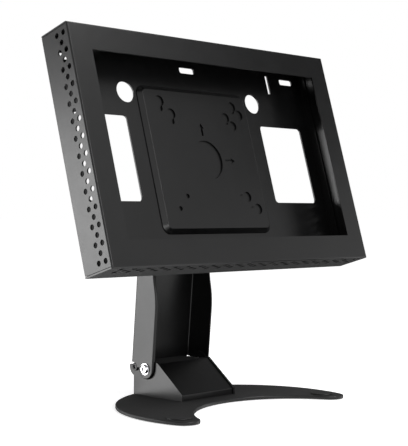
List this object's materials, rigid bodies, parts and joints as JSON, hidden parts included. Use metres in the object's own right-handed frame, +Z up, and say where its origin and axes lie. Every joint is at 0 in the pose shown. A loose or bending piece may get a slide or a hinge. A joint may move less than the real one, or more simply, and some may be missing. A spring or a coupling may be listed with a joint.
{
  "type": "tablet security kiosk stand",
  "caption": "Counter stand with a perforated steel shell for a tablet or small display, on a tilting channel arm, a folded bracket and a crescent foot.",
  "frame": {"origin": "on the counter, in the middle of the footprint: half the width of the shell, and half way from the front of the feet's tips to the back of the base", "axes": "+X to the right of someone who looks at the display, +Y away from them, +Z up"},
  "size_m": [0.35, 0.1614, 0.3543],
  "materials": {
    "powder_coat": "satin black powder coat with a fine grain",
    "black_screw": "black oxide steel, slightly oily",
    "chrome_screw": "bright plated steel",
    "zinc_nut": "zinc plated steel",
    "fibre_washer": "dark pressed fibre",
    "cap_plastic": "satin black plastic",
    "rubber_pad": "black rubber"
  },
  "bodies": {
    "stand": {"base_plate": "powder_coat", "foot_pads": "rubber_pad", "counter_hole_caps": "cap_plastic", "base_bracket": "powder_coat", "bracket_screws": "black_screw", "bracket_nuts": "zinc_nut", "stop_screws": "black_screw", "stop_nuts": "zinc_nut"},
    "arm": {"arm_channel": "powder_coat", "head_pivot_screws": "chrome_screw", "head_pivot_washers": "chrome_screw", "head_friction_washers": "fibre_washer", "head_pivot_nuts": "zinc_nut", "base_pivot_screws": "chrome_screw", "base_pivot_washers": "chrome_screw", "base_friction_washers": "fibre_washer", "base_pivot_nuts": "zinc_nut"},
    "screen": {"front_shell": "powder_coat", "back_panel": "powder_coat", "display_plate": "powder_coat", "backing_plate": "powder_coat", "panel_lock_screws": "black_screw", "panel_lock_nuts": "zinc_nut", "panel_clips": "powder_coat", "head_bracket": "powder_coat", "head_screws": "black_screw"}
  },
  "joints": [
    {"name": "arm_tilt", "type": "hinge", "parent": "stand", "child": "arm", "pos_m": [0, 0.05314, 0.031], "axis": [1, 0, 0], "range_deg": [0, 30]},
    {"name": "head_tilt", "type": "hinge", "parent": "arm", "child": "screen", "pos_m": [0, 0.04475, 0.22634], "axis": [1, 0, 0], "range_deg": [-30, 16]}
  ]
}
